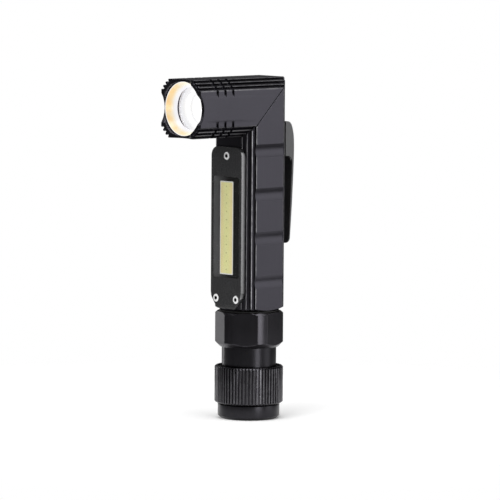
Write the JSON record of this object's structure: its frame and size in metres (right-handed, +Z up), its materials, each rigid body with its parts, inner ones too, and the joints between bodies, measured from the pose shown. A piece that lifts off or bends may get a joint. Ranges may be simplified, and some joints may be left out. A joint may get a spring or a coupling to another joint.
{
  "type": "tactical flashlight",
  "caption": "Right-angle pocket torch with a twisting head, a side work light, a sprung belt clip, a sliding charging-port ring and a screwed magnetic tail.",
  "frame": {"origin": "centre of the flat round tail face, which the torch stands on", "axes": "+Z up along the body from tail to head, the lamp and the work light face -Y, the belt clip is on the +Y side"},
  "size_m": [0.0302, 0.0603, 0.1506],
  "materials": {
    "anodised_black": "satin black anodised",
    "black_plastic": "gloss",
    "clear_window": "polished clear",
    "phosphor": "soft yellow phosphor",
    "white_board": "white solder mask",
    "circuit_board": "green solder mask",
    "mirror_finish": "mirror",
    "bright_steel": "bright",
    "black_steel": "satin black",
    "bare_aluminium": "turned",
    "brass_contact": "bright",
    "black_rubber": "matt",
    "cell_wrap": "shrink wrap"
  },
  "bodies": {
    "body": {"body_shell": "anodised_black", "battery_cell": "cell_wrap", "contact_insulator": "black_plastic", "positive_contact": "brass_contact", "driver_board": "circuit_board", "body_o_ring": "black_rubber", "work_light_housing": "black_plastic", "work_light_board": "white_board", "work_light_cob": "phosphor", "work_light_window": "clear_window", "panel_screw_top": "bright_steel", "panel_screw_left": "bright_steel", "panel_screw_right": "bright_steel", "switch_ring": "bare_aluminium", "switch_board": "circuit_board", "clip_bracket": "black_steel", "clip_pin": "bright_steel", "clip_spring": "bright_steel", "clip_screw_upper": "bright_steel", "clip_screw_lower": "bright_steel", "twist_o_ring": "black_rubber", "detent_ball": "bright_steel", "detent_spring": "bright_steel"},
    "button": {"switch_button": "black_rubber"},
    "clip": {"clip_lever": "black_steel"},
    "head": {"head_shell": "anodised_black", "led_pill": "bare_aluminium", "led_board": "white_board", "led_emitter": "phosphor", "reflector": "mirror_finish", "lens_seal": "black_rubber", "lens": "clear_window", "bezel_cup": "mirror_finish", "pivot_tube": "bare_aluminium", "pivot_nut": "bright_steel", "wave_washer": "bright_steel"},
    "washer": {"collar_washer": "black_rubber"},
    "tail": {"hex_collar": "anodised_black", "contact_carrier": "black_plastic", "battery_spring": "bright_steel", "charge_board": "circuit_board", "usb_receptacle": "bright_steel", "neck_o_ring": "black_rubber", "tail_cap": "anodised_black", "tail_magnet": "mirror_finish"},
    "ring": {"port_ring": "anodised_black", "port_ring_seal": "black_rubber"}
  },
  "joints": [
    {"name": "head_twist", "type": "hinge", "parent": "body", "child": "head", "pos_m": [0, 0, 0.1378], "axis": [0, -0.7071, 0.7071], "range_deg": [0, 180]},
    {"name": "switch_press", "type": "slide", "parent": "body", "child": "button", "axis": [1, 0, 0], "range_m": [0, 0.0005], "stiffness_N_per_m": 600},
    {"name": "clip_open", "type": "hinge", "parent": "body", "child": "clip", "pos_m": [0, 0.0154, 0.1233], "axis": [1, 0, 0], "range_deg": [0, 6.2], "stiffness_Nm_per_rad": 0.6, "springref_deg": -5.73},
    {"name": "tail_turn", "type": "hinge", "parent": "body", "child": "washer", "pos_m": [0, 0, 0.0478], "axis": [0, 0, -1], "range_deg": [0, 2160]},
    {"name": "tail_thread", "type": "slide", "parent": "washer", "child": "tail", "axis": [0, 0, -1], "range_m": [0, 0.009]},
    {"name": "port_ring_slide", "type": "slide", "parent": "tail", "child": "ring", "axis": [0, 0, 1], "range_m": [0, 0.0082]}
  ],
  "couplings": [
    {"joint": "tail_thread", "follows": "tail_turn", "m_per_rad": 0.00023873}
  ]
}
